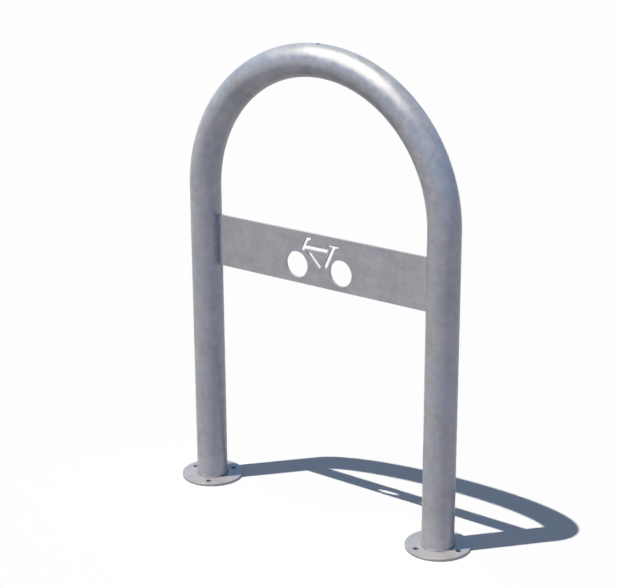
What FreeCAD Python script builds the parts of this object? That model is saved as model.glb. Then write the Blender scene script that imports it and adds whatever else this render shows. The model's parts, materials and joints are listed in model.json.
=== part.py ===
import FreeCAD, Part
import os
from math import radians

import Sketcher
from FreeCAD import Placement, Rotation, Vector

# Hoop bike rack: one round tube bent into an upside-down U, welded onto two round base flanges, with a
# flat crossbar between its legs that has a bicycle figure cut through it.
#
# Millimetres. The origin is on the ground, midway between the legs. +X runs along the hoop's width, +Z is
# up, and the front face of the crossbar looks along -Y. Left is the leg at -X, right the leg at +X.

SIZES = (
    ("OverallWidth", 600, "outside of one leg to the outside of the other"),
    ("OverallHeight", 900, "ground to the top of the hoop"),
    ("TubeDiameter", 60.3, "outside of the hoop tube"),
    ("TubeWall", 2.9, "wall of the hoop tube"),
    ("VentDiameter", 6, "galvanising vent through the top wall at the crown"),
    ("FlangeThickness", 5, "base flange, and so the height at which the tube starts"),
    ("FlangeRim", 16, "centre of an anchor hole to the flange's edge"),
    ("FlangeEdge", 0.5, "rounding of the flange's outer edges"),
    ("AnchorOffset", 14.85, "outside of the tube to the centre of an anchor hole"),
    ("AnchorDiameter", 11, "anchor hole"),
    ("AnchorCount", 3, "anchor holes in each flange"),
    ("DrainDiameter", 20, "galvanising drain through the flange, under the tube's bore"),
    ("BaseWeldLeg", 3, "leg of the weld between tube and flange"),
    ("BarHeight", 100, "crossbar, top edge to bottom edge"),
    ("BarThickness", 5, "crossbar, front face to back face"),
    ("BarDrop", 50, "start of the bend down to the crossbar's top edge"),
    ("BarWeldLeg", 3, "leg of the weld between crossbar and tube"),
    ("BarWeldInset", 2, "bare length of joint above and below that weld"),
    ("FigureHeight", 81, "bicycle figure, wheels to saddle, that its own sizes below are drawn for"),
    ("FigureFoot", 10, "crossbar's bottom edge to the wheels"),
    ("FigureHead", 9, "saddle to the crossbar's top edge"),
    ("WheelRadius", 25, "each wheel's round hole"),
    ("WheelSpread", 50, "middle of the figure to the centre of a wheel"),
    ("FrameStroke", 7.8, "width of the top tube, down tube and fork"),
    ("PostStroke", 7, "width of the seat post"),
    ("SaddleStroke", 6, "height of the saddle"),
    ("HandlebarStroke", 4.4, "height of the handlebar"),
    ("FigureRake", 65, "slope of the top tube's front end, in degrees from level"),
)

# The figure's straight strokes: name, width, centre-line from, to (across from the middle, up from the
# foot of the wheels), and how its two ends are cut.
STROKES = (
    ("Saddle", "SaddleStroke", (-28.5, 78), (-17.5, 78), "square", "square"),
    ("SeatPost", "PostStroke", (-25, 81), (-38, 53), "level", "level"),
    ("TopTube", "FrameStroke", (-34, 61.4), (20.8, 61.4), "square", "raked"),
    ("DownTube", "FrameStroke", (-22.8, 53), (3, 27.2), "level", "square"),
    ("Fork", "FrameStroke", (33.5, 70), (14.2, 28.1), "level", "square"),
    ("Handlebar", "HandlebarStroke", (20.6, 72), (46.2, 72), "square", "square"),
)

SIDES = {"left": -1, "right": 1}

# Sizes that follow from the ones above.
TUBE_RADIUS = "Sizes.TubeDiameter / 2"
LEG_OFFSET = "((Sizes.OverallWidth - Sizes.TubeDiameter) / 2)"
LEFT_AXIS = f"-{LEG_OFFSET}"
BEND_START = "(Sizes.OverallHeight - Sizes.OverallWidth / 2)"
CROWN = f"(Sizes.OverallHeight - {TUBE_RADIUS})"
ANCHOR_RADIUS = f"({TUBE_RADIUS} + Sizes.AnchorOffset)"
FLANGE_RADIUS = f"({ANCHOR_RADIUS} + Sizes.FlangeRim)"
BAR_LENGTH = "(Sizes.OverallWidth - 2 * Sizes.TubeDiameter)"
BAR_BOTTOM = f"({BEND_START} - Sizes.BarDrop - Sizes.BarHeight)"
FIGURE_SCALE = "((Sizes.BarHeight - Sizes.FigureFoot - Sizes.FigureHead) / Sizes.FigureHeight)"


def make_sheet(doc):
    """Put every driving size in a cell of its own, with its meaning beside it."""
    sheet = doc.addObject("Spreadsheet::Sheet", "Sizes")
    rows = list(SIZES)
    for name, _, start, end, _, _ in STROKES:
        for place, point in (("From", start), ("To", end)):
            rows.append((f"{name}{place}Across", point[0], f"{name}, {place.lower()}, across"))
            rows.append((f"{name}{place}Up", point[1], f"{name}, {place.lower()}, up"))
    for row, (alias, value, meaning) in enumerate(rows, start=1):
        sheet.set(f"A{row}", meaning)
        sheet.set(f"B{row}", str(value))
        sheet.setAlias(f"B{row}", alias)
    doc.recompute()


def size(item, expression):
    """The number that an expression on the sheet gives now."""
    return float(item.Document.getObject("Sizes").evalExpression(expression))


def spot(item, across, up):
    """The point that two expressions on the sheet give now."""
    return Vector(size(item, across), size(item, up), 0)


def add_body(doc, label):
    body = doc.addObject("PartDesign::Body", label)
    body.Label = label
    return body


def place_body(body, x="0", z="0", turn=Rotation()):
    """Turn a body and set it at a place that stays bound to the sheet."""
    body.Placement = Placement(Vector(), turn)
    body.setExpression("Placement.Base.x", x)
    body.setExpression("Placement.Base.z", z)


def add_sketch(body, name, plane, lift=None):
    """A sketch on one of the body's own origin planes, raised along the plane's normal if asked."""
    sketch = body.newObject("Sketcher::SketchObject", name)
    support = next(item for item in body.Origin.OriginFeatures if item.Role == plane)
    sketch.AttachmentSupport = (support, [""])
    sketch.MapMode = "FlatFace"
    if lift:
        sketch.setExpression("AttachmentOffset.Base.z", lift)
    return sketch


def bind(sketch, kind, *where, to):
    """Add a dimension to the sketch and keep it equal to an expression on the sheet."""
    index = sketch.addConstraint(Sketcher.Constraint(kind, *where, size(sketch, to)))
    sketch.setExpression(f"Constraints[{index}]", to)


def pin(sketch, geometry, vertex, across, up):
    """Hold one vertex at its distances from the sketch's origin."""
    for kind, axis, distance in (("DistanceX", -2, across), ("DistanceY", -1, up)):
        if distance == "0":
            sketch.addConstraint(Sketcher.Constraint("PointOnObject", geometry, vertex, axis))
        else:
            bind(sketch, kind, -1, 1, geometry, vertex, to=distance)


def add_circle(sketch, across, up, radius):
    centre = spot(sketch, across, up)
    circle = sketch.addGeometry(Part.Circle(centre, Vector(0, 0, 1), size(sketch, radius)))
    pin(sketch, circle, 3, across, up)
    bind(sketch, "Radius", circle, to=radius)


def add_lines(sketch, points, closed=True):
    """Straight lines from point to point, each point given as two expressions. Returns their numbers."""
    spots = [spot(sketch, across, up) for across, up in points]
    ends = spots[1:] + spots[:1] if closed else spots[1:]
    lines = [sketch.addGeometry(Part.LineSegment(a, b)) for a, b in zip(spots, ends)]
    for line, following in zip(lines, lines[1:]):
        sketch.addConstraint(Sketcher.Constraint("Coincident", line, 2, following, 1))
    if closed:
        sketch.addConstraint(Sketcher.Constraint("Coincident", lines[-1], 2, lines[0], 1))
    for line, (across, up) in zip(lines, points):
        pin(sketch, line, 1, across, up)
    if not closed:
        pin(sketch, lines[-1], 2, *points[-1])
    return lines


def add_pocket(body, sketch, upward=False):
    """Cut the sketch right through: to both sides, or only along the sketch's normal."""
    pocket = body.newObject("PartDesign::Pocket", f"{sketch.Name}Cut")
    pocket.Profile = sketch
    pocket.Type = "ThroughAll"
    if upward:
        pocket.Reversed = True
    else:
        pocket.Midplane = True
    return pocket


def make_hoop(doc):
    """The bent tube. It stands on the flanges and follows one line up, round and down."""
    body = add_body(doc, "hoop_tube")

    ring = add_sketch(body, "TubeSection", "XY_Plane", lift="Sizes.FlangeThickness")
    add_circle(ring, LEFT_AXIS, "0", TUBE_RADIUS)
    add_circle(ring, LEFT_AXIS, "0", f"{TUBE_RADIUS} - Sizes.TubeWall")

    path = add_sketch(body, "TubePath", "XZ_Plane")
    left, right = (
        add_lines(path, [(across, "Sizes.FlangeThickness"), (across, BEND_START)], closed=False)[0]
        for across in (LEFT_AXIS, LEG_OFFSET)
    )
    bend_points = ((LEG_OFFSET, BEND_START), ("0", CROWN), (LEFT_AXIS, BEND_START))
    bend = path.addGeometry(Part.Arc(*(spot(path, *point) for point in bend_points)))
    path.addConstraint(Sketcher.Constraint("Coincident", bend, 1, right, 2))
    path.addConstraint(Sketcher.Constraint("Coincident", bend, 2, left, 2))
    bind(path, "DistanceY", -1, 1, bend, 3, to=BEND_START)

    tube = body.newObject("PartDesign::AdditivePipe", "BentTube")
    tube.Profile = ring
    tube.Spine = (path, [])

    vent = add_sketch(body, "Vent", "XY_Plane", lift=CROWN)
    add_circle(vent, "0", "0", "Sizes.VentDiameter / 2")
    add_pocket(body, vent, upward=True)


def make_flange(doc, side):
    """A round plate under one leg, with a drain below the tube's bore and anchor holes around it."""
    body = add_body(doc, f"{side}_base_flange")

    disc = add_sketch(body, f"{side}Disc", "XY_Plane")
    add_circle(disc, "0", "0", FLANGE_RADIUS)
    add_circle(disc, "0", "0", "Sizes.DrainDiameter / 2")
    plate = body.newObject("PartDesign::Pad", f"{side}Plate")
    plate.Profile = disc
    plate.setExpression("Length", "Sizes.FlangeThickness")

    anchor = add_sketch(body, f"{side}Anchor", "XY_Plane")
    add_circle(anchor, ANCHOR_RADIUS, "0", "Sizes.AnchorDiameter / 2")
    hole = add_pocket(body, anchor)
    pattern = body.newObject("PartDesign::PolarPattern", f"{side}Anchors")
    pattern.Originals = [hole]
    pattern.Axis = (anchor, ["N_Axis"])
    pattern.Angle = 360
    pattern.setExpression("Occurrences", "Sizes.AnchorCount")
    body.Tip = pattern
    doc.recompute()

    rim = size(body, FLANGE_RADIUS)
    edges = [
        f"Edge{number}"
        for number, edge in enumerate(pattern.Shape.Edges, start=1)
        if isinstance(edge.Curve, Part.Circle) and abs(edge.Curve.Radius - rim) < 0.001
    ]
    soft = body.newObject("PartDesign::Fillet", f"{side}Edge")
    soft.Base = (pattern, edges)
    soft.setExpression("Radius", "Sizes.FlangeEdge")
    body.Tip = soft

    outward = Rotation(Vector(0, 0, 1), 0 if SIDES[side] > 0 else 180)
    place_body(body, x=f"{SIDES[side]} * {LEG_OFFSET}", turn=outward)


def make_base_weld(doc, side):
    """The ring of weld in the corner between the tube and the top of its flange."""
    body = add_body(doc, f"{side}_base_weld")
    section = add_sketch(body, f"{side}BaseBead", "XZ_Plane")
    toe = f"{TUBE_RADIUS} + Sizes.BaseWeldLeg"
    add_lines(section, [(TUBE_RADIUS, "0"), (toe, "0"), (TUBE_RADIUS, "Sizes.BaseWeldLeg")])
    ring = body.newObject("PartDesign::Revolution", f"{side}BaseRing")
    ring.Profile = section
    ring.ReferenceAxis = (section, ["V_Axis"])
    ring.Angle = 360
    place_body(body, x=f"{SIDES[side]} * {LEG_OFFSET}", z="Sizes.FlangeThickness")


def add_stroke(body, name, width, cuts):
    """Cut one straight stroke of the bicycle figure, held by its centre-line and its width."""
    sketch = add_sketch(body, name, "XZ_Plane")
    foot = "Sizes.FigureFoot"
    ends = [
        (f"Sizes.{name}{place}Across * {FIGURE_SCALE}", f"{foot} + Sizes.{name}{place}Up * {FIGURE_SCALE}")
        for place in ("From", "To")
    ]
    start, end = (spot(sketch, across, up) for across, up in ends)
    half_width = f"Sizes.{width} * {FIGURE_SCALE} / 2"
    along = (end - start).normalize()
    aside = Vector(-along.y, along.x, 0) * size(sketch, half_width)

    corners = [start + aside, end + aside, end - aside, start - aside]
    sides = [
        sketch.addGeometry(Part.LineSegment(a, b)) for a, b in zip(corners, corners[1:] + corners[:1])
    ]
    centre = sketch.addGeometry(Part.LineSegment(start, end), True)
    for line, following in zip(sides, sides[1:] + sides[:1]):
        sketch.addConstraint(Sketcher.Constraint("Coincident", line, 2, following, 1))
    pin(sketch, centre, 1, *ends[0])
    pin(sketch, centre, 2, *ends[1])

    long_side, end_side, _, start_side = sides
    sketch.addConstraint(Sketcher.Constraint("Symmetric", start_side, 1, start_side, 2, centre, 1))
    sketch.addConstraint(Sketcher.Constraint("Symmetric", end_side, 1, end_side, 2, centre, 2))
    sketch.addConstraint(Sketcher.Constraint("Parallel", long_side, centre))
    bind(sketch, "Distance", centre, 1, long_side, to=half_width)
    for side, cut in zip((start_side, end_side), cuts):
        if cut == "square":
            sketch.addConstraint(Sketcher.Constraint("Perpendicular", side, centre))
        elif cut == "level":
            sketch.addConstraint(Sketcher.Constraint("Horizontal", side))
        else:
            rake = "Sizes.FigureRake - 180"
            slope = Sketcher.Constraint("Angle", side, radians(size(sketch, rake)))
            sketch.setExpression(f"Constraints[{sketch.addConstraint(slope)}]", rake)
    add_pocket(body, sketch)


def make_crossbar(doc):
    """The flat bar between the legs, drawn from its bottom edge, with the bicycle figure cut through."""
    body = add_body(doc, "crossbar_plate")
    half = f"{BAR_LENGTH} / 2"
    face = add_sketch(body, "BarFace", "XZ_Plane")
    add_lines(
        face, [(f"-{half}", "0"), (half, "0"), (half, "Sizes.BarHeight"), (f"-{half}", "Sizes.BarHeight")]
    )
    bar = body.newObject("PartDesign::Pad", "Bar")
    bar.Profile = face
    bar.Midplane = True
    bar.setExpression("Length", "Sizes.BarThickness")

    wheels = add_sketch(body, "Wheels", "XZ_Plane")
    radius = f"Sizes.WheelRadius * {FIGURE_SCALE}"
    spread = f"Sizes.WheelSpread * {FIGURE_SCALE}"
    for sign in SIDES.values():
        add_circle(wheels, f"{sign} * {spread}", f"Sizes.FigureFoot + {radius}", radius)
    add_pocket(body, wheels)
    for name, width, _, _, *cuts in STROKES:
        add_stroke(body, name, width, cuts)
    place_body(body, z=BAR_BOTTOM)


def make_bar_weld(doc, label, side, turn, turned_over):
    """One upright fillet of weld between a face of the crossbar and a leg.

    It is drawn at the right leg's front corner, from the leg's axis, and turned into the other corners.
    """
    body = add_body(doc, label)
    section = add_sketch(body, f"{label}_section", "XY_Plane")
    face = "Sizes.BarThickness / 2"
    crest = f"({face} + Sizes.BarWeldLeg)"
    root, halfway, tip = (
        (f"-sqrt(({TUBE_RADIUS})^2 - ({depth})^2)", f"-({depth})")
        for depth in (face, f"({face} + {crest}) / 2", crest)
    )
    toe = (f"{root[0]} - Sizes.BarWeldLeg", root[1])
    along_bar, bead = add_lines(section, [root, toe, tip], closed=False)
    along_tube = section.addGeometry(Part.Arc(*(spot(section, *point) for point in (root, halfway, tip))))
    section.addConstraint(Sketcher.Constraint("Coincident", along_tube, 1, along_bar, 1))
    section.addConstraint(Sketcher.Constraint("Coincident", along_tube, 2, bead, 2))
    bind(section, "Radius", along_tube, to=TUBE_RADIUS)

    run = body.newObject("PartDesign::Pad", f"{label}_run")
    run.Profile = section
    run.setExpression("Length", "Sizes.BarHeight - 2 * Sizes.BarWeldInset")
    bottom = f"{BAR_BOTTOM} + Sizes.BarWeldInset"
    top = f"{BAR_BOTTOM} + Sizes.BarHeight - Sizes.BarWeldInset"
    place_body(body, x=f"{SIDES[side]} * {LEG_OFFSET}", z=top if turned_over else bottom, turn=turn)


def make_bar_welds(doc):
    turns = {
        "right_front": (Rotation(), False),
        "left_back": (Rotation(Vector(0, 0, 1), 180), False),
        "right_back": (Rotation(Vector(1, 0, 0), 180), True),
        "left_front": (Rotation(Vector(0, 1, 0), 180), True),
    }
    for corner, (turn, turned_over) in turns.items():
        side = corner.split("_")[0]
        make_bar_weld(doc, f"{corner}_crossbar_weld", side, turn, turned_over)


def check(doc):
    """Stop if anything failed, a sketch is loose, a cut removed nothing or a body isn't one solid."""
    for item in doc.Objects:
        if "Invalid" in item.State or "Error" in item.State:
            raise RuntimeError(f"{item.Label}: {item.State}")
        if item.TypeId == "Sketcher::SketchObject" and not item.FullyConstrained:
            raise RuntimeError(f"{item.Label} is not fully constrained")
        if item.TypeId == "PartDesign::Pocket" and item.Shape.Volume >= item.BaseFeature.Shape.Volume:
            raise RuntimeError(f"{item.Label} cuts nothing")
        if item.TypeId == "PartDesign::Body":
            shape = item.Shape
            if shape.isNull() or not shape.isValid() or len(shape.Solids) != 1:
                raise RuntimeError(f"{item.Label} is not one valid solid")


def export(doc):
    os.makedirs("parts", exist_ok=True)
    for item in doc.Objects:
        if item.TypeId == "PartDesign::Body":
            item.Shape.exportStep(f"parts/{item.Label}.step")
            print(f"{item.Label}: {item.Shape.Volume:.0f} mm3")


def main():
    doc = FreeCAD.newDocument("HoopBikeRack")
    make_sheet(doc)
    make_hoop(doc)
    make_crossbar(doc)
    make_bar_welds(doc)
    for side in SIDES:
        make_flange(doc, side)
        make_base_weld(doc, side)
    doc.recompute()
    check(doc)
    export(doc)


main()
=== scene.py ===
import json
from math import atan2, cos, hypot, pi, radians, sin, sqrt

import bmesh
import bpy
from bpy.props import FloatProperty, FloatVectorProperty, PointerProperty
from bpy.types import Operator, Panel, PropertyGroup
from mathutils import Matrix, Quaternion, Vector, noise


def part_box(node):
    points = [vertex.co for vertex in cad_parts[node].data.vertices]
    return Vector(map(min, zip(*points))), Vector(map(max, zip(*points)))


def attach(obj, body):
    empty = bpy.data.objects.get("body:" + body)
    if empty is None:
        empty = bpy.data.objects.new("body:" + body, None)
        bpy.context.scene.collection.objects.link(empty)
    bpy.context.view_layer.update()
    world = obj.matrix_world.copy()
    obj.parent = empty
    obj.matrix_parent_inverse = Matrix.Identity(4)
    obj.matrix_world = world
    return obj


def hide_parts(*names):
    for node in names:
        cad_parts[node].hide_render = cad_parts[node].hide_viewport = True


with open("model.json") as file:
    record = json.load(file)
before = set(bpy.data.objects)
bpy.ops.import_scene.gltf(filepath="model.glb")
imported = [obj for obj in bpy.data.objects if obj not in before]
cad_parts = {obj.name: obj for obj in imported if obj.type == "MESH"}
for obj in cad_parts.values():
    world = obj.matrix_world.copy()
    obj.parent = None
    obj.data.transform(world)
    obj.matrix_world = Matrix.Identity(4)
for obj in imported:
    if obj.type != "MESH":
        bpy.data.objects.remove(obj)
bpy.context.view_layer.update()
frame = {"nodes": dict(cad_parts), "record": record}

bl_info = {
    "name": "Hoop Bike Rack",
    "version": (1, 0, 0),
    "blender": (4, 5, 0),
    "location": "3D View > Sidebar > Hoop Rack",
    "description": "Models a galvanised hoop bike rack round its packed frame, with its finishes and stage",
    "category": "Add Mesh",
}

# What the frame says, in metres.

MOUNTS = {mount["name"]: mount for mount in frame["record"]["mounts"]}
OPENINGS = {opening["name"]: opening["box_m"] for opening in frame["record"]["physics"]["openings"]}
ANCHORS = MOUNTS["right_flange_anchors"]
ANCHOR_RADIUS = ANCHORS["dims"]["hole_r_mm"] / 1000
LEG_OFFSET = ANCHORS["pos_m"][0]
TUBE_LOW, TUBE_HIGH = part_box("hoop_tube")
FLANGE_LOW, FLANGE_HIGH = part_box("right_base_flange")
BAR_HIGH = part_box("crossbar_plate")[1]
BAR_WELD_LOW, BAR_WELD_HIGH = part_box("right_back_crossbar_weld")

# The vent takes away the very top of the tube, so the box of the tube ends at the vent's rim.
VENT_RADIUS = 0.003
BEND_HEIGHT = TUBE_HIGH.z - sqrt(TUBE_HIGH.x ** 2 - VENT_RADIUS ** 2)

SIDES = {"left": -1, "right": 1}
FACES = {"front": -1, "back": 1}

# How finely the round pieces are divided.
TUBE_FACETS = 128
BEND_STEPS = 128
LEG_STEPS = 12
RIM_FACETS = 160
HOLE_FACETS = 64
BEAD_FACETS = 6
STEPS_IN_A_RIPPLE = 6
SOFT_EDGE_FACETS = 2
SOFT_RIM_FACETS = 3

# Faces that meet at more than the first angle keep a crisp edge in the shading, and those of the
# frame's mesh that meet at less than the second are one flat face.
SHARP_ANGLE = radians(38)
FLAT_ANGLE = radians(1)

# Lengths and angles that differ by less than this are the same.
TOLERANCE = 1e-5

# How far round the vent the tube's wall is remade, in radii of the vent.
MOUTH_REACH = 2.5

# How far from its middle a wheel's rim is looked for, in widths of its opening, and how much further
# out than the nearest vertex the others of the rim may lie.
WHEEL_REACH = 1.6
WHEEL_SLACK = 1.002

# How deep the root of a weld lies in the metal that it joins.
BASE_BEAD_SINK = 0.0002
BAR_BEAD_SINK = 0.0003

# How a weld's ripples bow along it, how round their crests are, how uneven they are, and how much
# that changes from one to the next.
RIPPLE_BOW = 0.9
RIPPLE_CREST = 0.7
RIPPLE_UNEVENNESS = 0.6
RIPPLE_CHANGE = 0.45

# How full an upright weld still is at its very ends.
END_FULLNESS = 0.35

# How much each pattern in the zinc pales it.
CLOUDS_PALE = 1.6
DRIFT_PALES = 0.6
CRYSTALS_PALE = 0.42
MOTTLE_PALES = 0.9
RUNS_PALE = 0.45
GRAIN_PALES = 0.22
CUTS_PALE = -0.25
RUBBING_PALES = 0.35

# How much more strongly the patterns show on a bend, and over what height that sets in.
BEND_CONTRAST = 0.45
BEND_ONSET = 0.125

# How much each pattern roughens the zinc, and the smoothest that it gets.
CLOUDS_ROUGHEN = 0.14
CRYSTALS_ROUGHEN = 0.07
GRAIN_ROUGHENS = 0.05
CUTS_ROUGHEN = 0.08
RUBBING_ROUGHENS = -0.10
SMOOTHEST = 0.29

# How high the zinc's surface rises and falls, and each pattern's share in that.
RELIEF = 0.00012
SWELL_RELIEF = 0.45
GRAIN_RELIEF = 0.10
CRYSTAL_RELIEF = 0.05
STRIATION_RELIEF = 0.25

# Sizes of the patterns that go with the size of the cloudy patches, as shares of it.
MOTTLE_SHARE = 0.33
DRIFT_SHARE = 2.6
TINT_SHARE = 1.3

# The level of its pattern from which the blue tint shows, and how steeply it sets in.
TINT_ONSET = 0.46
TINT_SLOPE = 3.2

# Sizes of the patterns in the zinc that are the same on every piece.
RUN_WIDTH = 0.009
GRAIN_SIZE = 0.0011
SWELL_SIZE = 0.007
STRIATION_WIDTH = 0.0009
CRYSTAL_SIZE = 1 / 105
CRYSTAL_WARP = 0.006
CRYSTAL_WARP_SIZE = 1 / 160

# How much of the underlying colour the tint of a cut edge hides.
CUT_TINT = 0.7

# The vent's dark, painted shade in the hole and a stain round its mouth, reaches this far from the middle
# of the hole and fades over the second, in its radii.
VENT_SHADE_REACH = 2.2
VENT_SHADE_FADE = 1.1

# The floor: its radius, its corners and how far it lies under the flanges.
FLOOR_RADIUS = 80
FLOOR_FACETS = 96
FLOOR_DROP = 0.0002

# The part of a flange's radius under which the ground is painted dark, as painted shade, and hidden from
# soft light, and how much wider than an anchor hole the ground that shows through it is.
GROUND_SHARE = 0.99
HOLE_GROUND = 1.1

# The backdrop that reflections show is white up to the first height and gone at the second.
BACKDROP_FULL = radians(3)
BACKDROP_END = radians(8)

# The soft light from beside the camera: its height, and how narrow it is.
FILL_ELEVATION = radians(5)
FILL_NARROWNESS = 4


class RackSizes(PropertyGroup):
    """Sizes of the pieces, from the frame where it holds them."""

    leg_offset: FloatProperty(
        name="Leg offset", description="Middle of the rack to the axis of a leg",
        default=LEG_OFFSET, unit="LENGTH", precision=4,
    )
    tube_radius: FloatProperty(
        name="Tube radius", description="Outside radius of the hoop tube",
        default=TUBE_HIGH.x - LEG_OFFSET, unit="LENGTH", precision=5,
    )
    tube_wall: FloatProperty(
        name="Tube wall", description="Thickness of the tube's wall",
        default=0.0029, unit="LENGTH", precision=4,
    )
    bend_height: FloatProperty(
        name="Bend height", description="Ground to the start of the half-circle bend",
        default=BEND_HEIGHT, unit="LENGTH", precision=4,
    )
    vent_radius: FloatProperty(
        name="Vent radius", description="Radius of the vent hole at the crown",
        default=VENT_RADIUS, unit="LENGTH", precision=4,
    )
    flange_radius: FloatProperty(
        name="Flange radius", description="Axis of the leg to the edge of its base flange",
        default=FLANGE_HIGH.y, unit="LENGTH", precision=4,
    )
    flange_thickness: FloatProperty(
        name="Flange thickness", description="Thickness of a base flange",
        default=FLANGE_HIGH.z - FLANGE_LOW.z, unit="LENGTH", precision=4,
    )
    drain_radius: FloatProperty(
        name="Drain radius", description="Radius of the drain hole under the tube's bore",
        default=0.010, unit="LENGTH", precision=4,
    )
    rim_edge: FloatProperty(
        name="Rim edge", description="Rounding of a base flange's outer edges",
        default=0.0005, unit="LENGTH", precision=5,
    )
    cut_edge: FloatProperty(
        name="Cut edge", description="Rounding that the zinc leaves on the other cut edges",
        default=0.0004, unit="LENGTH", precision=5,
    )
    weld_leg: FloatProperty(
        name="Weld leg", description="Leg of every fillet weld",
        default=0.003, unit="LENGTH", precision=4,
    )
    weld_crown: FloatProperty(
        name="Weld crown", description="How far a weld's face stands proud of flat",
        default=0.00035, unit="LENGTH", precision=5,
    )
    ripple_pitch: FloatProperty(
        name="Ripple pitch", description="Distance from one ripple of a weld to the next",
        default=0.0024, unit="LENGTH", precision=4,
    )
    ripple_depth: FloatProperty(
        name="Ripple depth", description="Depth of the valley between ripples, as a share of the weld",
        default=0.12, subtype="FACTOR", min=0, max=1,
    )


class RackColours(PropertyGroup):
    """Colours of the zinc and of the stage."""

    zinc_light: FloatVectorProperty(
        name="Light zinc", description="Palest patches of the galvanising",
        default=(0.680, 0.665, 0.655), subtype="COLOR", size=3, min=0, max=1,
    )
    zinc_dark: FloatVectorProperty(
        name="Dark zinc", description="Dullest patches of the galvanising",
        default=(0.520, 0.520, 0.525), subtype="COLOR", size=3, min=0, max=1,
    )
    zinc_blue: FloatVectorProperty(
        name="Blue zinc", description="Cool tint that some patches take",
        default=(0.565, 0.603, 0.676), subtype="COLOR", size=3, min=0, max=1,
    )
    zinc_cut: FloatVectorProperty(
        name="Cut-edge zinc", description="Zinc over the cut edges and hole walls",
        default=(0.700, 0.665, 0.610), subtype="COLOR", size=3, min=0, max=1,
    )
    # Painted shade in the vent hole, with a dark stain round its mouth.
    vent_shade_and_stain: FloatVectorProperty(
        name="Vent stain", description="Stain that the zinc bath leaves in and round the vent hole",
        default=(0.100, 0.100, 0.105), subtype="COLOR", size=3, min=0, max=1,
    )
    weld_light: FloatVectorProperty(
        name="Light weld",
        description="Palest patches of the zinc over weld metal, which takes it thick and dull",
        default=(0.380, 0.378, 0.380), subtype="COLOR", size=3, min=0, max=1,
    )
    weld_dark: FloatVectorProperty(
        name="Dark weld", description="Darkest patches of the zinc over weld metal",
        default=(0.240, 0.242, 0.252), subtype="COLOR", size=3, min=0, max=1,
    )
    floor_shown: FloatVectorProperty(
        name="Floor", description="Floor as the camera and the reflections see it",
        default=(0.985, 0.985, 0.985), subtype="COLOR", size=3, min=0, max=1,
    )
    floor_bounce: FloatVectorProperty(
        name="Floor bounce", description="Floor as soft light bounces off it",
        default=(0.045, 0.040, 0.036), subtype="COLOR", size=3, min=0, max=1,
    )
    # Painted shade: the ground under the flanges, seen through their anchor holes.
    floor_painted_shade: FloatVectorProperty(
        name="Ground under flanges", description="Dark ground that shows through the anchor holes",
        default=(0.020, 0.022, 0.028), subtype="COLOR", size=3, min=0, max=1,
    )
    sun: FloatVectorProperty(
        name="Key light", description="Colour of the key light",
        default=(1.000, 0.957, 0.893), subtype="COLOR", size=3, min=0, max=1,
    )
    sky_low: FloatVectorProperty(
        name="Low sky", description="Soft light from just over the horizon",
        default=(0.155, 0.270, 0.460), subtype="COLOR", size=3, min=0, max=1,
    )
    sky_high: FloatVectorProperty(
        name="High sky", description="Soft light from overhead",
        default=(0.085, 0.106, 0.113), subtype="COLOR", size=3, min=0, max=1,
    )
    fill: FloatVectorProperty(
        name="Fill", description="Soft light from beside the camera",
        default=(0.190, 0.115, 0.400), subtype="COLOR", size=3, min=0, max=1,
    )
    gleam_low: FloatVectorProperty(
        name="Low gleam", description="Sky that the zinc reflects just over the horizon",
        default=(0.350, 1.010, 1.980), subtype="COLOR", size=3, min=0, soft_max=1,
    )
    gleam_high: FloatVectorProperty(
        name="High gleam", description="Sky that the zinc reflects overhead",
        default=(0.150, 0.165, 0.190), subtype="COLOR", size=3, min=0, soft_max=1,
    )


class RackStage(PropertyGroup):
    """Where the camera and the key light stand."""

    azimuth: FloatProperty(
        name="Azimuth", description="Camera's direction from the front, towards the right leg",
        default=radians(37.091), unit="ROTATION",
    )
    elevation: FloatProperty(
        name="Elevation", description="Camera's direction above the horizon",
        default=radians(18.357), unit="ROTATION",
    )
    roll: FloatProperty(
        name="Roll", description="Camera's turn about its own view",
        default=radians(-0.288), unit="ROTATION",
    )
    distance: FloatProperty(
        name="Distance", description="Camera to the point that it looks at",
        default=3.0794, unit="LENGTH", precision=4,
    )
    aim: FloatVectorProperty(
        name="Aim", description="Point that the camera looks at",
        default=(-0.0248, 0.0, 0.4310), subtype="XYZ", size=3, unit="LENGTH", precision=4,
    )
    fill_azimuth: FloatProperty(
        name="Fill azimuth", description="Soft light's direction from the front, towards the right leg",
        default=radians(56), unit="ROTATION",
    )
    lens: FloatProperty(
        name="Lens", description="Focal length on a sensor 36 mm wide",
        default=96.713, unit="CAMERA",
    )
    sun_azimuth: FloatProperty(
        name="Key azimuth", description="Key light's direction from the front, towards the right leg",
        default=radians(-40.04), unit="ROTATION",
    )
    sun_elevation: FloatProperty(
        name="Key elevation", description="Key light's direction above the horizon",
        default=radians(69.6), unit="ROTATION",
    )
    sun_width: FloatProperty(
        name="Key width", description="Angle that the key light fills, which softens its shadow",
        default=radians(0.5), unit="ROTATION",
    )
    sun_strength: FloatProperty(
        name="Key strength", description="Light that falls on a surface turned to the key",
        default=2.99, min=0,
    )
    glow_azimuth: FloatProperty(
        name="Glow azimuth", description="Middle of the glow from the front, towards the right leg",
        default=radians(-31), unit="ROTATION",
    )
    glow_elevation: FloatProperty(
        name="Glow elevation", description="Middle of the glow above the horizon",
        default=radians(67), unit="ROTATION",
    )
    glow_width: FloatProperty(
        name="Glow width", description="Angle that the soft glow round the key fills",
        default=radians(68), unit="ROTATION",
    )
    glow_strength: FloatProperty(
        name="Glow strength", description="Light of the glow, which only reflections show",
        default=3.8, min=0,
    )


class RackSettings(PropertyGroup):
    """Everything that a user may change before the operators run."""

    sizes: PointerProperty(type=RackSizes)
    colours: PointerProperty(type=RackColours)
    stage: PointerProperty(type=RackStage)


# Meshes

def verts_of(geometry):
    return [item for item in geometry if isinstance(item, bmesh.types.BMVert)]


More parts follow.
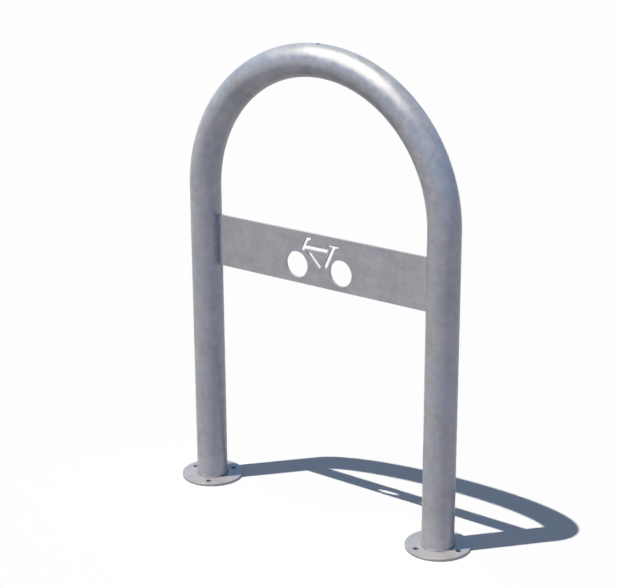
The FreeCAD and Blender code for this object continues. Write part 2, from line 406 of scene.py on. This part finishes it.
def edges_of(geometry):
    return [item for item in geometry if isinstance(item, bmesh.types.BMEdge)]


def faces_of(geometry):
    return [item for item in geometry if isinstance(item, bmesh.types.BMFace)]


def edges_round(faces):
    """The edges of faces, each once."""
    return list(dict.fromkeys(edge for face in faces for edge in face.edges))


def new_mesh():
    """An empty mesh whose faces can be marked as cut by a machine or as rubbed bare."""
    bm = bmesh.new()
    bm.faces.layers.float.new("cut")
    bm.faces.layers.float.new("rubbed")
    return bm


def mark(bm, layer, faces):
    values = bm.faces.layers.float[layer]
    for face in faces:
        face[values] = 1.0


def add_circle(bm, centre, radius, segments):
    """A level circle of edges."""
    made = bmesh.ops.create_circle(
        bm, segments=segments, radius=radius, matrix=Matrix.Translation(centre), cap_ends=False
    )
    return list(dict.fromkeys(edge for vert in made["verts"] for edge in vert.link_edges))


def extrude(bm, faces, by, steps=1):
    """Push faces along a straight line in even steps. Returns the faces at the end.

    Their edges go with them, so that no step leaves its start behind as a wall inside the solid.
    """
    for _ in range(steps):
        made = bmesh.ops.extrude_face_region(bm, geom=faces + edges_round(faces))["geom"]
        bmesh.ops.translate(bm, verts=verts_of(made), vec=by / steps)
        faces = faces_of(made)
    return faces


def round_edges(bm, edges, width, segments):
    """Bevel edges to a small round, which is where the finish rubs bare first."""
    made = bmesh.ops.bevel(
        bm, geom=edges, offset=width, segments=segments, profile=0.5,
        affect="EDGES", material=-1, clamp_overlap=True,
    )
    mark(bm, "rubbed", made["faces"])


def sharp_edges(bm):
    return [edge for edge in bm.edges if edge.is_manifold and edge.calc_face_angle() > SHARP_ANGLE]


def finish_piece(bm, name, node, material):
    """Turn a mesh into a piece that stands for one node of the frame."""
    bmesh.ops.recalc_face_normals(bm, faces=bm.faces)
    for face in bm.faces:
        face.smooth = True
    for edge in sharp_edges(bm):
        edge.smooth = False
    mesh = bpy.data.meshes.new(name)
    bm.to_mesh(mesh)
    bm.free()
    mesh.materials.append(material)
    piece = bpy.data.objects.new(name, mesh)
    bpy.context.scene.collection.objects.link(piece)
    even = piece.modifiers.new("Flat faces shade flat", "WEIGHTED_NORMAL")
    even.keep_sharp = True
    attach(piece, "root")
    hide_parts(node)


def bend_tube(sizes):
    """The tube's wall, pushed up the left leg, spun over the bend and pushed down the right leg."""
    bm = new_mesh()
    foot = Vector((-sizes.leg_offset, 0, TUBE_LOW.z))
    bore = sizes.tube_radius - sizes.tube_wall
    rims = add_circle(bm, foot, sizes.tube_radius, TUBE_FACETS) + add_circle(bm, foot, bore, TUBE_FACETS)
    end = bmesh.ops.bridge_loops(bm, edges=rims)["faces"]
    leg = Vector((0, 0, sizes.bend_height - TUBE_LOW.z))
    end = extrude(bm, end, leg, LEG_STEPS)
    spun = bmesh.ops.spin(
        bm, geom=end + edges_round(end), cent=(0, 0, sizes.bend_height), axis=(0, 1, 0),
        angle=pi, steps=BEND_STEPS,
    )
    extrude(bm, faces_of(spun["geom_last"]), -leg, LEG_STEPS)
    return bm


def rounded_mouth(bm, sizes, wall_radius):
    """Swap the patch of one wall at the crown for faces that run in to a round hole.

    Returns the edges of the hole.
    """
    bend_radius = sizes.leg_offset
    reach = MOUTH_REACH * sizes.vent_radius
    crown = Vector((0, 0, sizes.bend_height + bend_radius))

    def on_wall(vert):
        ring = hypot(vert.co.x, vert.co.z - sizes.bend_height) - bend_radius
        return abs(hypot(ring, vert.co.y) - wall_radius) < sizes.tube_wall / 4

    patch = [
        face for face in bm.faces
        if face.calc_center_median().z > crown.z and all(on_wall(vert) for vert in face.verts)
        and all(abs(vert.co.x) < reach and abs(vert.co.y) < reach for vert in face.verts)
    ]
    inside = set(patch)
    border = [edge for edge in edges_round(patch) if not inside.issuperset(edge.link_faces)]
    bmesh.ops.delete(bm, geom=patch, context="FACES")
    made = bmesh.ops.extrude_edge_only(bm, edges=border)["geom"]
    rim = verts_of(made)
    rim.sort(key=lambda vert: (atan2(vert.co.y, vert.co.x) + TOLERANCE) % (2 * pi))
    for number, vert in enumerate(rim):
        turn = 2 * pi * number / len(rim)
        across = sizes.vent_radius * cos(turn)
        aside = sizes.vent_radius * sin(turn)
        arch = bend_radius + sqrt(wall_radius ** 2 - aside ** 2)
        vert.co = Vector((across, aside, sizes.bend_height + sqrt(arch ** 2 - across ** 2)))
    ring = set(rim)
    return [edge for edge in edges_of(made) if ring.issuperset(edge.verts)]


def drill_vent(bm, sizes):
    """Open the vent through the tube's top wall and soften its outer edge."""
    outer = rounded_mouth(bm, sizes, sizes.tube_radius)
    inner = rounded_mouth(bm, sizes, sizes.tube_radius - sizes.tube_wall)
    wall = bmesh.ops.bridge_loops(bm, edges=outer + inner)["faces"]
    mark(bm, "cut", wall)
    round_edges(bm, outer, sizes.cut_edge, SOFT_EDGE_FACETS)


def round_wheel(bm, opening):
    """Divide a wheel's cut-out more finely than the frame's mesh does, on its true circle."""
    low, high = OPENINGS[opening]
    centre = Vector(((low[0] + high[0]) / 2, 0, (low[2] + high[2]) / 2))

    def distance(vert):
        return hypot(vert.co.x - centre.x, vert.co.z - centre.z)

    near = [vert for vert in bm.verts if distance(vert) < WHEEL_REACH * (high[0] - low[0])]
    radius = min(distance(vert) for vert in near)
    rim = {vert for vert in near if distance(vert) < radius * WHEEL_SLACK}
    arcs = [
        edge for edge in bm.edges
        if rim.issuperset(edge.verts) and abs(edge.verts[0].co.y - edge.verts[1].co.y) < TOLERANCE
    ]
    made = bmesh.ops.subdivide_edges(bm, edges=arcs, cuts=1)["geom_inner"]
    for vert in verts_of(made):
        grow = radius / distance(vert)
        vert.co.x = centre.x + (vert.co.x - centre.x) * grow
        vert.co.z = centre.z + (vert.co.z - centre.z) * grow


def cut_crossbar(sizes):
    """The bar with its figure, taken from the frame, with round wheels and softened cut edges."""
    bm = new_mesh()
    bm.from_mesh(frame["nodes"]["crossbar_plate"].data)
    bmesh.ops.remove_doubles(bm, verts=bm.verts, dist=TOLERANCE)
    bmesh.ops.dissolve_limit(bm, angle_limit=FLAT_ANGLE, verts=bm.verts, edges=bm.edges)
    for opening in ("left_wheel_cutout", "right_wheel_cutout"):
        round_wheel(bm, opening)
    mark(bm, "cut", [face for face in bm.faces if abs(face.normal.y) < 0.5])
    round_edges(bm, sharp_edges(bm), sizes.cut_edge, SOFT_EDGE_FACETS)
    return bm


def anchor_places():
    """Where the anchor holes of a flange are: away from the rack's middle, and aside."""
    dims = ANCHORS["dims"]
    turns = [2 * pi * number / dims["count"] for number in range(dims["count"])]
    return [(cos(turn) * dims["pcd_mm"] / 2000, sin(turn) * dims["pcd_mm"] / 2000) for turn in turns]


def cut_flange(sizes, side):
    """A round plate with its drain in the middle and its anchor holes around it."""
    bm = new_mesh()
    axis = Vector((SIDES[side] * sizes.leg_offset, 0, FLANGE_LOW.z))
    add_circle(bm, axis, sizes.flange_radius, RIM_FACETS)
    add_circle(bm, axis, sizes.drain_radius, HOLE_FACETS)
    for out, aside in anchor_places():
        add_circle(bm, axis + Vector((SIDES[side] * out, aside, 0)), ANCHOR_RADIUS, HOLE_FACETS)
    bmesh.ops.triangle_fill(bm, edges=bm.edges, use_beauty=True, normal=(0, 0, 1))
    extrude(bm, list(bm.faces), Vector((0, 0, sizes.flange_thickness)))
    mark(bm, "cut", [face for face in bm.faces if abs(face.normal.z) < 0.5])

    def on_rim(edge):
        return all((vert.co - axis).xy.length > sizes.flange_radius - TOLERANCE for vert in edge.verts)

    edges = sharp_edges(bm)
    rim = [edge for edge in edges if on_rim(edge)]
    holes = [edge for edge in edges if not on_rim(edge)]
    round_edges(bm, holes, sizes.cut_edge, SOFT_EDGE_FACETS)
    rim = [edge for edge in rim if edge.is_valid]
    round_edges(bm, rim, sizes.rim_edge, SOFT_RIM_FACETS)
    return bm


def add_bead_outline(bm, sizes, root, toe, tip):
    """The closed outline of a weld: its root in the corner, then round its crowned face, toe to tip."""
    out = ((toe + tip) / 2 - root).normalized()
    points = [root]
    for number in range(BEAD_FACETS + 1):
        share = number / BEAD_FACETS
        points.append(toe.lerp(tip, share) + out * sizes.weld_crown * 4 * share * (1 - share))
    verts = [bm.verts.new(point) for point in points]
    edges = [bm.edges.new(pair) for pair in zip(verts, verts[1:] + verts[:1])]
    return verts + edges


def ripple(sizes, along, across, seed):
    """How full a weld is, up to 1, at a length along it and a share across it from toe to tip."""
    phase = along / sizes.ripple_pitch + RIPPLE_BOW * 4 * across * (1 - across)
    valley = 1 - abs(sin(pi * phase)) ** RIPPLE_CREST
    uneven = 0.5 + 0.5 * noise.noise(Vector((phase * RIPPLE_CHANGE, seed, across)))
    return 1 - sizes.ripple_depth * (valley + RIPPLE_UNEVENNESS * uneven)


def lay_base_bead(sizes, side):
    """The ring of weld between a leg and its flange."""
    bm = new_mesh()
    axis = Vector((SIDES[side] * sizes.leg_offset, 0, 0))
    corner = Vector((sizes.tube_radius, 0, FLANGE_HIGH.z))
    start = axis + corner
    root = start - Vector((BASE_BEAD_SINK, 0, BASE_BEAD_SINK))
    toe = start + Vector((sizes.weld_leg, 0, 0))
    tip = start + Vector((0, 0, sizes.weld_leg))
    outline = add_bead_outline(bm, sizes, root, toe, tip)
    round_trip = 2 * pi * sizes.tube_radius
    ripples = round(round_trip / sizes.ripple_pitch)
    bmesh.ops.spin(
        bm, geom=outline, cent=axis, axis=(0, 0, 1), angle=2 * pi,
        steps=ripples * STEPS_IN_A_RIPPLE, use_merge=True,
    )
    for vert in bm.verts:
        reach = (vert.co - axis).xy
        out = reach.length - corner.x
        up = vert.co.z - corner.z
        turn = atan2(reach.y, reach.x) % (2 * pi)
        along = turn / (2 * pi) * ripples * sizes.ripple_pitch
        across = min(max(up / max(out + up, TOLERANCE), 0), 1)
        fullness = ripple(sizes, along, across, SIDES[side])
        radius = corner.x + out * fullness
        vert.co = axis + Vector((radius * cos(turn), radius * sin(turn), corner.z + up * fullness))
    return bm


def lay_bar_bead(sizes, side, face):
    """One upright weld between a face of the crossbar and a leg, with rounded ends."""
    bm = new_mesh()
    leg = Vector((SIDES[side] * sizes.leg_offset, 0, 0))

    def on_tube(depth):
        reach = sqrt(sizes.tube_radius ** 2 - depth ** 2)
        return leg + Vector((-SIDES[side] * reach, FACES[face] * depth, BAR_WELD_LOW.z))

    bar_face = BAR_HIGH.y
    corner = on_tube(bar_face)
    root = on_tube(bar_face - BAR_BEAD_SINK)
    toe = corner - Vector((SIDES[side] * sizes.weld_leg, 0, 0))
    tip = on_tube(bar_face + sizes.weld_leg)
    outline = add_bead_outline(bm, sizes, root, toe, tip)
    length = BAR_WELD_HIGH.z - BAR_WELD_LOW.z
    steps = round(length / sizes.ripple_pitch) * STEPS_IN_A_RIPPLE
    bmesh.ops.spin(
        bm, geom=outline, cent=root, axis=(0, 0, 1), angle=0, steps=steps, dvec=(0, 0, length / steps)
    )
    bmesh.ops.holes_fill(bm, edges=bm.edges, sides=0)
    seed = 5 * SIDES[side] + FACES[face]
    for vert in bm.verts:
        along = vert.co.z - root.z
        from_end = min(along, length - along)
        near_end = min(max(from_end / sizes.weld_leg, 0), 1)
        rounding = END_FULLNESS + (1 - END_FULLNESS) * sqrt(1 - (1 - near_end) ** 2)
        out = vert.co - Vector((root.x, root.y, vert.co.z))
        across = min(out.length / (toe - root).length, 1) * 0.5
        fullness = ripple(sizes, along, across, seed) * rounding
        vert.co -= out * (1 - fullness)
    return bm


# Finishes

class Wire:
    """A socket of a finish that can be used in sums, which add their Math nodes."""

    def __init__(self, finish, socket):
        self.finish = finish
        self.socket = socket

    def __add__(self, other):
        return self.finish.math("ADD", self, other)

    def __radd__(self, other):
        return self.finish.math("ADD", other, self)

    def __sub__(self, other):
        return self.finish.math("SUBTRACT", self, other)

    def __rsub__(self, other):
        return self.finish.math("SUBTRACT", other, self)

    def __mul__(self, other):
        return self.finish.math("MULTIPLY", self, other)

    def __pow__(self, other):
        return self.finish.math("POWER", self, other)


class Finish:
    """The nodes of one material or of the world."""

    def __init__(self, owner):
        owner.use_nodes = True
        self.owner = owner
        self.tree = owner.node_tree
        self.tree.nodes.clear()

    def node(self, kind, settings=None, sockets=None, output=0):
        """Add a node, set it up, then fill or link its sockets. Returns one of its outputs."""
        node = self.tree.nodes.new(kind)
        for key, value in (settings or {}).items():
            setattr(node, key, value)
        for key, value in (sockets or {}).items():
            if isinstance(value, Wire):
                self.tree.links.new(value.socket, node.inputs[key])
            else:
                node.inputs[key].default_value = value
        return Wire(self, node.outputs[output]) if node.outputs else None

    def math(self, operation, *values):
        return self.node("ShaderNodeMath", {"operation": operation}, dict(enumerate(values)))

    def clamp(self, value, low=0.0):
        return self.node("ShaderNodeClamp", sockets={"Value": value, "Min": low})

    def blend(self, factor, first, second, how="MIX"):
        """A colour between two colours, or their sum."""
        settings = {"data_type": "RGBA", "blend_type": how}
        return self.node("ShaderNodeMix", settings, {0: factor, 6: first, 7: second}, output=2)

    def along(self, place, axis):
        """One coordinate of a place."""
        return self.node("ShaderNodeSeparateXYZ", sockets={"Vector": place}, output=axis)

    def noise(self, place, size, detail=2.0, roughness=0.5, distortion=0.0):
        """Soft noise from 0 to 1 whose patches are about a size across."""
        sockets = {
            "Vector": place, "Scale": 1 / size, "Detail": detail,
            "Roughness": roughness, "Distortion": distortion,
        }
        return self.node("ShaderNodeTexNoise", sockets=sockets)

    def stretched(self, place, scale):
        """The place with its axes scaled, so that a pattern on it is drawn out."""
        return self.node("ShaderNodeMapping", sockets={"Vector": place, "Scale": scale})


def rgba(colour):
    return (*colour, 1.0)


def shade_and_stain_at_vent(finish, place, sizes):
    """1 in the vent hole, where the dark is painted shade, fading out over a few millimetres round it,
    where it is a stain.
    """
    across = finish.along(place, "X")
    aside = finish.along(place, "Y")
    reach = (across * across + aside * aside) ** 0.5
    left = sizes.vent_radius * VENT_SHADE_REACH - reach
    return finish.clamp(left * (1 / (sizes.vent_radius * VENT_SHADE_FADE)))


def crystals(finish, place):
    """A shade for each crystal of the zinc, whose borders wander a little."""
    sockets = {"Vector": place, "Scale": 1 / CRYSTAL_WARP_SIZE, "Detail": 1.0}
    wander = finish.node("ShaderNodeTexNoise", sockets=sockets, output="Color")
    warped = finish.node(
        "ShaderNodeVectorMath", {"operation": "MULTIPLY_ADD"},
        {0: wander, 1: (CRYSTAL_WARP, CRYSTAL_WARP, CRYSTAL_WARP), 2: place},
    )
    sockets = {"Vector": warped, "Scale": 1 / CRYSTAL_SIZE}
    colour = finish.node("ShaderNodeTexVoronoi", {"feature": "F1"}, sockets, output="Color")
    return finish.node("ShaderNodeSeparateColor", sockets={"Color": colour})


def zinc_finish(
    name, colours, light, dark, drawn, spread=(1.0, 1.0, 1.0), patch=0.034, level=0.42,
    metal=0.22, sheen=0.5, edge=(0.6, 0.6, 0.6), cast=(1.0, 1.0, 1.0), cool=0.6, contrast=1.0,
    vent=None, bend_height=None,
):
    """Hot-dip galvanising: cloudy patches, faint crystals and runs, over a slightly uneven surface.

    A tube that was worked into a bend shows its patches more strongly from there up.
    """
    finish = Finish(bpy.data.materials.new(name))
    place = finish.node("ShaderNodeTexCoord", output="Object")

    clouds = finish.noise(finish.stretched(place, spread), patch, 3.0, roughness=0.55, distortion=0.6)
    mottle = finish.noise(place, patch * MOTTLE_SHARE, roughness=0.6)
    drift = finish.noise(finish.stretched(place, (1.0, 1.0, 0.8)), patch * DRIFT_SHARE, 1.0)
    tint = finish.noise(finish.stretched(place, (1.1, 0.9, 1.0)), patch * TINT_SHARE, distortion=0.8)
    runs = finish.noise(finish.stretched(place, drawn), RUN_WIDTH)
    crystal = crystals(finish, place)
    grain = finish.noise(place, GRAIN_SIZE)
    swell = finish.noise(place, SWELL_SIZE, 1.0)
    striation = finish.noise(finish.stretched(place, (1.0, 1.0, 0.04)), STRIATION_WIDTH, 1.0)
    cut = finish.node("ShaderNodeAttribute", {"attribute_name": "cut"}, output="Fac")
    rubbed = finish.node("ShaderNodeAttribute", {"attribute_name": "rubbed"}, output="Fac")

    shade = (clouds - 0.5) * CLOUDS_PALE + (drift - 0.5) * DRIFT_PALES
    shade = shade + (mottle - 0.5) * MOTTLE_PALES + (crystal - 0.5) * CRYSTALS_PALE
    shade = shade + (runs - 0.5) * RUNS_PALE + (grain - 0.5) * GRAIN_PALES
    if bend_height:
        on_bend = finish.clamp((finish.along(place, "Z") - bend_height) * (1 / BEND_ONSET))
        contrast = on_bend * BEND_CONTRAST + contrast
    shade = finish.clamp(0.5 + shade * contrast + cut * CUTS_PALE + rubbed * RUBBING_PALES)

    cast = Vector(cast)
    colour = finish.blend(shade, rgba(Vector(dark) * cast), rgba(Vector(light) * cast))
    blue = finish.clamp((tint - TINT_ONSET) * TINT_SLOPE)
    colour = finish.blend(blue * cool, colour, rgba(Vector(colours.zinc_blue) * cast))
    colour = finish.blend(cut * CUT_TINT, colour, rgba(colours.zinc_cut))
    # Darkens the vent: painted shade in the hole, and a stain round its mouth.
    if vent:
        colour = finish.blend(shade_and_stain_at_vent(finish, place, vent), colour, rgba(colours.vent_shade_and_stain))

    roughness = (clouds - 0.5) * CLOUDS_ROUGHEN + (crystal - 0.5) * CRYSTALS_ROUGHEN + level
    roughness = roughness + (grain - 0.5) * GRAIN_ROUGHENS + cut * CUTS_ROUGHEN + rubbed * RUBBING_ROUGHENS
    roughness = finish.clamp(roughness, SMOOTHEST)

    height = swell * SWELL_RELIEF + grain * GRAIN_RELIEF + crystal * CRYSTAL_RELIEF
    height = height + cut * striation * STRIATION_RELIEF
    bump = finish.node("ShaderNodeBump", sockets={"Strength": 1.0, "Distance": RELIEF, "Height": height})

    surface = finish.node("ShaderNodeBsdfPrincipled", sockets={
        "Base Color": colour, "Metallic": metal, "Roughness": roughness, "Specular IOR Level": sheen,
        "Specular Tint": rgba(edge), "Normal": bump,
    })
    finish.node("ShaderNodeOutputMaterial", sockets={"Surface": surface})
    return finish.owner


def seen(finish):
    """1 for rays that show a thing, straight or in a reflection, and 0 for those that carry soft light."""
    paths = [finish.node("ShaderNodeLightPath", output=ray) for ray in
             ("Is Camera Ray", "Is Glossy Ray", "Is Transmission Ray")]
    return finish.clamp(paths[0] + paths[1] + paths[2])


def floor_finish(sizes, colours):
    """A plain white floor that shows the shadow and bounces little light.

    It isn't there from below, nor for the soft light that reaches the undersides of the flanges. Under the
    flanges it is painted dark, as painted shade that the anchor holes show.
    """
    finish = Finish(bpy.data.materials.new("pale_floor"))
    place = finish.node("ShaderNodeTexCoord", output="Object")
    from_leg = finish.math("ABSOLUTE", finish.along(place, "X")) - sizes.leg_offset
    aside = finish.along(place, "Y")
    reach = (from_leg * from_leg + aside * aside) ** 0.5
    covered = finish.math("LESS_THAN", reach, sizes.flange_radius * GROUND_SHARE)
    # Under the flanges the floor is painted dark, as painted shade for the anchor holes.
    shown = finish.blend(covered, rgba(colours.floor_shown), rgba(colours.floor_painted_shade))
    colour = finish.blend(seen(finish), rgba(colours.floor_bounce), shown)
    matt = finish.node("ShaderNodeBsdfDiffuse", sockets={"Color": colour})
    clear = finish.node("ShaderNodeBsdfTransparent")
    below = finish.node("ShaderNodeNewGeometry", output="Backfacing")
    from_hole = 1.0
    for out, sideways in anchor_places():
        ahead = from_leg - out
        beside = aside - sideways
        from_hole = finish.math("MINIMUM", from_hole, (ahead * ahead + beside * beside) ** 0.5)
    under_plate = covered * finish.math("GREATER_THAN", from_hole, ANCHOR_RADIUS * HOLE_GROUND)
    gone = finish.clamp(below + under_plate * (1 - seen(finish)))
    surface = finish.node("ShaderNodeMixShader", sockets={0: gone, 1: matt, 2: clear})
    finish.node("ShaderNodeOutputMaterial", sockets={"Surface": surface})
    return finish.owner


def light_world(colours, stage):
    """Soft light that pales upwards, with a white backdrop that reflections show along the horizon."""
    world = bpy.data.worlds.new("soft_sky")
    bpy.context.scene.world = world
    finish = Finish(world)
    white = (1.0, 1.0, 1.0, 1.0)
    direction = finish.node("ShaderNodeTexCoord", output="Generated")
    up = finish.along(direction, "Z")
    height = finish.clamp(up) ** 0.5
    beside = finish.node(
        "ShaderNodeVectorMath", {"operation": "DOT_PRODUCT"},
        {0: direction, 1: towards(stage.fill_azimuth, FILL_ELEVATION)}, output="Value",
    )
    sky = finish.blend(height, rgba(colours.sky_low), rgba(colours.sky_high))
    sky = finish.blend(finish.clamp(beside) ** FILL_NARROWNESS, sky, rgba(colours.fill), how="ADD")
    gleam = finish.blend(height, rgba(colours.gleam_low), rgba(colours.gleam_high))
    fade = sin(BACKDROP_END) - sin(BACKDROP_FULL)
    backdrop = finish.clamp((sin(BACKDROP_END) - up) * (1 / fade))
    shown = finish.blend(backdrop, gleam, white)
    colour = finish.blend(seen(finish), sky, shown)
    straight = finish.node("ShaderNodeLightPath", output="Is Camera Ray")
    colour = finish.blend(straight, colour, white)
    surface = finish.node("ShaderNodeBackground", sockets={"Color": colour, "Strength": 1.0})
    finish.node("ShaderNodeOutputWorld", sockets={"Surface": surface})


# Operators

def towards(azimuth, elevation):
    """The direction at an angle from the front, towards the right leg, and above the horizon."""
    return Vector((sin(azimuth) * cos(elevation), -cos(azimuth) * cos(elevation), sin(elevation)))


class HOOPRACK_OT_tube(Operator):
    """Bend the hoop tube and drill its vent"""

    bl_idname = "hoop_rack.tube"
    bl_label = "Hoop Tube"

    def execute(self, context):
        rack = context.scene.hoop_rack
        colours = rack.colours
        zinc = zinc_finish(
            "zinc_on_tube", colours, colours.zinc_light, colours.zinc_dark, (1.0, 1.0, 0.09),
            level=0.34, sheen=0.25, contrast=0.95, vent=rack.sizes, bend_height=rack.sizes.bend_height,
        )
        bm = bend_tube(rack.sizes)
        drill_vent(bm, rack.sizes)
        finish_piece(bm, "hoop", "hoop_tube", zinc)
        return {"FINISHED"}


class HOOPRACK_OT_crossbar(Operator):
    """Cut the crossbar with its bicycle figure"""

    bl_idname = "hoop_rack.crossbar"
    bl_label = "Crossbar"

    def execute(self, context):
        rack = context.scene.hoop_rack
        colours = rack.colours
        zinc = zinc_finish(
            "zinc_on_bar", colours, colours.zinc_light, colours.zinc_dark, (0.12, 1.0, 1.0),
            spread=(0.55, 1.0, 1.2), cast=(1.0, 0.985, 0.965), cool=0.45, contrast=1.0,
        )
        finish_piece(cut_crossbar(rack.sizes), "crossbar", "crossbar_plate", zinc)
        return {"FINISHED"}


class HOOPRACK_OT_flanges(Operator):
    """Cut the two base flanges"""

    bl_idname = "hoop_rack.flanges"
    bl_label = "Base Flanges"

    def execute(self, context):
        rack = context.scene.hoop_rack
        colours = rack.colours
        zinc = zinc_finish(
            "zinc_on_flange", colours, colours.zinc_light, colours.zinc_dark, (0.5, 1.0, 1.0),
            level=0.37, metal=0.15, sheen=0.85, edge=(0.85, 0.95, 1.0), cast=(0.85, 0.81, 0.785),
        )
        for side in SIDES:
            piece = cut_flange(rack.sizes, side)
            finish_piece(piece, f"{side}_flange", f"{side}_base_flange", zinc)
        return {"FINISHED"}


class HOOPRACK_OT_welds(Operator):
    """Lay the two rings of weld on the flanges and the four upright welds on the crossbar"""

    bl_idname = "hoop_rack.welds"
    bl_label = "Welds"

    def execute(self, context):
        rack = context.scene.hoop_rack
        colours = rack.colours
        # The welds on the crossbar are 1.4 times paler than those on the flanges (0.9): painted light that
        # lifts the weld which stands in a leg's shadow.
        base_zinc, bar_zinc_painted_light = [
            zinc_finish(
                name, colours, colours.weld_light, colours.weld_dark, (1.0, 1.0, 1.0),
                patch=0.012, level=0.68, metal=0.08, sheen=0.35, cast=(shade, shade, shade),
            )
            for name, shade in (("zinc_on_base_weld", 0.9), ("zinc_on_bar_weld", 1.4))
        ]
        for side in SIDES:
            bead = lay_base_bead(rack.sizes, side)
            finish_piece(bead, f"{side}_flange_weld", f"{side}_base_weld", base_zinc)
            for face in FACES:
                bead = lay_bar_bead(rack.sizes, side, face)
                corner = f"{side}_{face}"
                finish_piece(bead, f"{corner}_bar_weld", f"{corner}_crossbar_weld", bar_zinc_painted_light)
        return {"FINISHED"}


class HOOPRACK_OT_stage(Operator):
    """Lay the floor, set the lights and place the camera"""

    bl_idname = "hoop_rack.stage"
    bl_label = "Stage"

    def execute(self, context):
        rack = context.scene.hoop_rack
        stage = rack.stage
        scene = context.scene

        bm = bmesh.new()
        bmesh.ops.create_circle(
            bm, cap_ends=True, segments=FLOOR_FACETS, radius=FLOOR_RADIUS,
            matrix=Matrix.Translation((0, 0, -FLOOR_DROP)),
        )
        mesh = bpy.data.meshes.new("floor")
        bm.to_mesh(mesh)
        bm.free()
        mesh.materials.append(floor_finish(rack.sizes, rack.colours))
        floor = bpy.data.objects.new("floor", mesh)
        scene.collection.objects.link(floor)

        lamp = bpy.data.lights.new("key", "SUN")
        lamp.energy = stage.sun_strength
        lamp.color = rack.colours.sun
        lamp.angle = stage.sun_width
        key = bpy.data.objects.new("key", lamp)
        glow = bpy.data.objects.new("glow", lamp.copy())
        glow.data.energy = stage.glow_strength
        glow.data.angle = stage.glow_width
        glow.visible_diffuse = False
        for light, azimuth, elevation in (
            (key, stage.sun_azimuth, stage.sun_elevation), (glow, stage.glow_azimuth, stage.glow_elevation)
        ):
            light.rotation_mode = "QUATERNION"
            light.rotation_quaternion = towards(azimuth, elevation).to_track_quat("Z", "Y")
            scene.collection.objects.link(light)
        light_world(rack.colours, stage)

        back = towards(stage.azimuth, stage.elevation)
        camera = bpy.data.objects.new("camera", bpy.data.cameras.new("camera"))
        camera.data.lens = stage.lens
        camera.data.sensor_width = 36
        camera.location = Vector(stage.aim) + back * stage.distance
        camera.rotation_mode = "QUATERNION"
        camera.rotation_quaternion = back.to_track_quat("Z", "Y") @ Quaternion((0, 0, 1), stage.roll)
        scene.collection.objects.link(camera)
        scene.camera = camera
        scene.view_settings.view_transform = "Standard"
        return {"FINISHED"}


class HOOPRACK_PT_sidebar(Panel):
    """The rack's operators and settings, in the sidebar"""

    bl_idname = "HOOPRACK_PT_sidebar"
    bl_label = "Hoop Bike Rack"
    bl_space_type = "VIEW_3D"
    bl_region_type = "UI"
    bl_category = "Hoop Rack"

    def draw(self, context):
        rack = context.scene.hoop_rack
        for operator in OPERATORS:
            self.layout.operator(operator.bl_idname)
        for group in (rack.sizes, rack.colours, rack.stage):
            box = self.layout.box()
            for name in group.bl_rna.properties.keys():
                if name not in ("rna_type", "name"):
                    box.prop(group, name)


OPERATORS = (
    HOOPRACK_OT_tube,
    HOOPRACK_OT_crossbar,
    HOOPRACK_OT_flanges,
    HOOPRACK_OT_welds,
    HOOPRACK_OT_stage,
)
CLASSES = (RackSizes, RackColours, RackStage, RackSettings, *OPERATORS, HOOPRACK_PT_sidebar)


def register():
    for item in CLASSES:
        bpy.utils.register_class(item)
    bpy.types.Scene.hoop_rack = PointerProperty(type=RackSettings)


def unregister():
    del bpy.types.Scene.hoop_rack
    for item in reversed(CLASSES):
        bpy.utils.unregister_class(item)


def main():
    register()
    bpy.ops.hoop_rack.tube()
    bpy.ops.hoop_rack.crossbar()
    bpy.ops.hoop_rack.flanges()
    bpy.ops.hoop_rack.welds()
    bpy.ops.hoop_rack.stage()


if __name__ == "__main__":
    main()
